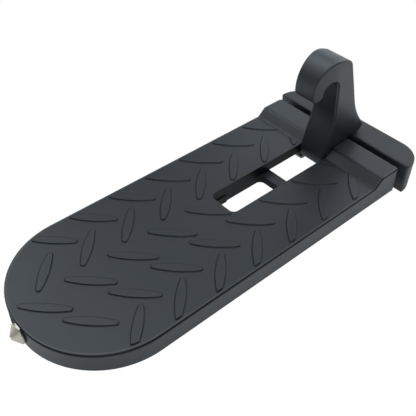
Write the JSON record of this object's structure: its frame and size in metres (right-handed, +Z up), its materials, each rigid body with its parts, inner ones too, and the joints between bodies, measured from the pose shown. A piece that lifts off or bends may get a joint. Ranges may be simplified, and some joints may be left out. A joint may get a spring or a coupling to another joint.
{
  "type": "car door step",
  "caption": "Fold-up car door step: black cast tread plate with raised lugs and a folding hook that hangs on the door striker, with a rubber bumper and a pale breaker tip.",
  "frame": {"origin": "lowest plane of the part, in the middle of its overall length and width", "axes": "+X towards the car body (hook and bumper end), +Y to the left seen from the outer end, +Z up out of the tread face"},
  "size_m": [0.2086, 0.0852, 0.0667],
  "materials": {
    "coated_casting": "black satin powder coat",
    "rubber": "satin",
    "tip_steel": "ground",
    "steel": "satin",
    "washer_plastic": "matte"
  },
  "bodies": {
    "plate": {"tread_plate": "coated_casting", "rubber_bumper": "rubber", "breaker_tip": "tip_steel", "hinge_pin": "steel", "friction_washer_left": "washer_plastic", "friction_washer_right": "washer_plastic", "pin_keeper_left": "steel", "pin_keeper_right": "steel", "keeper_screw_left": "steel", "keeper_screw_right": "steel", "bumper_screw_1": "steel", "bumper_screw_2": "steel", "bumper_screw_3": "steel", "bumper_washer_1": "steel", "bumper_washer_2": "steel", "bumper_washer_3": "steel", "tip_set_screw": "steel"},
    "hook": {"hook": "coated_casting"}
  },
  "joints": [
    {"name": "hook_fold", "type": "hinge", "parent": "plate", "child": "hook", "pos_m": [0.0743, 0, 0.0108], "axis": [0, -1, 0], "range_deg": [0, 92]}
  ]
}
